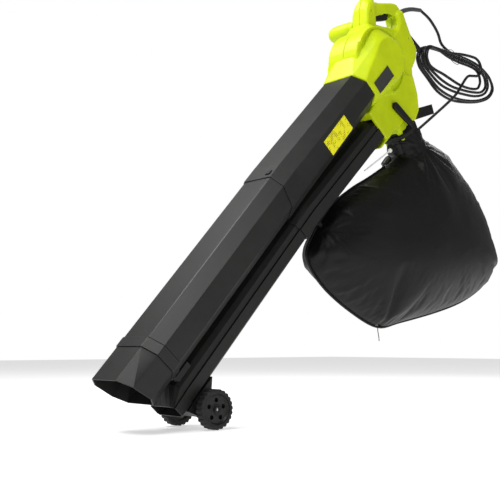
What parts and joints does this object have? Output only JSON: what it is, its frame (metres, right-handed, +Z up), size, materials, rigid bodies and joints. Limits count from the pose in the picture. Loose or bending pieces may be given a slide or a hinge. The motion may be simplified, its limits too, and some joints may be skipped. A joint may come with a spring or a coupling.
{
  "type": "leaf vacuum mulcher",
  "caption": "Hand-held electric leaf vacuum and mulcher: twin wheeled tubes, side fan head with loop handle, auxiliary grip, collecting bag and a tied power cord",
  "frame": {"origin": "middle of the bar of the main grip, where a hand holds the tool", "axes": "+X to the tool's left, +Y to its rear, +Z up; the tubes run forwards and down from the head at 48.2 degrees below the horizontal, their working angle"},
  "size_m": [0.2711, 1.4976, 1.2121],
  "materials": {
    "lime_plastic": "semi-gloss",
    "black_plastic": "fine texture",
    "hard_black": "satin",
    "rubber": "matt",
    "grey_sleeve": "matt",
    "steel": "brushed",
    "copper_brown": "wound wire",
    "bag_fabric": "woven",
    "yellow_label": "printed film",
    "white_plastic": "smooth"
  },
  "bodies": {
    "frame": {"left_housing": "lime_plastic", "right_housing": "lime_plastic", "inlet_hood": "lime_plastic", "aux_handle": "lime_plastic", "bag_spout": "lime_plastic", "motor_cover": "lime_plastic", "nozzle_tip": "black_plastic", "lower_suction_tube": "black_plastic", "upper_suction_tube": "black_plastic", "blower_nozzle": "black_plastic", "lower_blower_tube": "black_plastic", "upper_blower_tube": "black_plastic", "axle_bracket": "black_plastic", "front_tube_clip": "hard_black", "middle_tube_clip": "hard_black", "tube_latch": "hard_black", "left_axle_cap": "hard_black", "right_axle_cap": "hard_black", "badge": "hard_black", "cord_hook": "hard_black", "bag_collar": "hard_black", "bag_hook": "hard_black", "switch_body": "hard_black", "plug": "hard_black", "cord_lead": "rubber", "cord_tail": "rubber", "cord_hank": "rubber", "cord_sleeve": "grey_sleeve", "axle": "steel", "housing_screw_1": "steel", "housing_screw_2": "steel", "housing_screw_3": "steel", "housing_screw_4": "steel", "motor_body": "steel", "front_bearing": "steel", "rear_bearing": "steel", "bag": "bag_fabric", "bag_loop": "bag_fabric", "neck_strap": "bag_fabric", "warning_label": "yellow_label", "zip_pull": "white_plastic"},
    "left_wheel": {"left_wheel": "black_plastic", "left_tyre": "rubber"},
    "right_wheel": {"right_wheel": "black_plastic", "right_tyre": "rubber"},
    "rotor": {"armature": "copper_brown", "impeller": "steel", "shredder_blade": "steel", "impeller_nut": "steel", "cooling_fan": "hard_black"},
    "trigger": {"trigger": "hard_black"},
    "lock_button": {"lock_button": "hard_black"},
    "speed_dial": {"speed_dial": "hard_black"},
    "mode_gear": {"mode_lever": "hard_black", "mode_flap": "hard_black"},
    "tube_catch": {"tube_catch": "hard_black"}
  },
  "joints": [
    {"name": "left_wheel_spin", "type": "hinge", "parent": "frame", "child": "left_wheel", "pos_m": [0, -0.665, -1.115], "axis": [1, 0, 0], "continuous": true},
    {"name": "right_wheel_spin", "type": "hinge", "parent": "frame", "child": "right_wheel", "pos_m": [0, -0.665, -1.115], "axis": [1, 0, 0], "continuous": true},
    {"name": "fan_spin", "type": "hinge", "parent": "frame", "child": "rotor", "pos_m": [0, -0.063, -0.18], "axis": [1, 0, 0], "continuous": true},
    {"name": "trigger_pull", "type": "hinge", "parent": "frame", "child": "trigger", "pos_m": [0, -0.036, -0.015], "axis": [1, 0, 0], "range_deg": [0, 4], "stiffness_Nm_per_rad": 0.8, "springref_deg": -2.86},
    {"name": "lock_press", "type": "slide", "parent": "frame", "child": "lock_button", "axis": [1, 0, 0], "range_m": [0, 0.0025], "stiffness_N_per_m": 150, "springref_m": -0.003},
    {"name": "speed_turn", "type": "hinge", "parent": "frame", "child": "speed_dial", "pos_m": [-0.028, 0.0715, -0.042], "axis": [1, 0, 0], "range_deg": [0, 270]},
    {"name": "mode_turn", "type": "hinge", "parent": "frame", "child": "mode_gear", "pos_m": [0, -0.00765, -0.30028], "axis": [1, 0, 0], "range_deg": [0, 40]},
    {"name": "catch_press", "type": "slide", "parent": "frame", "child": "tube_catch", "axis": [0, 0.7455, -0.6665], "range_m": [0, 0.003], "stiffness_N_per_m": 200, "springref_m": -0.003}
  ]
}
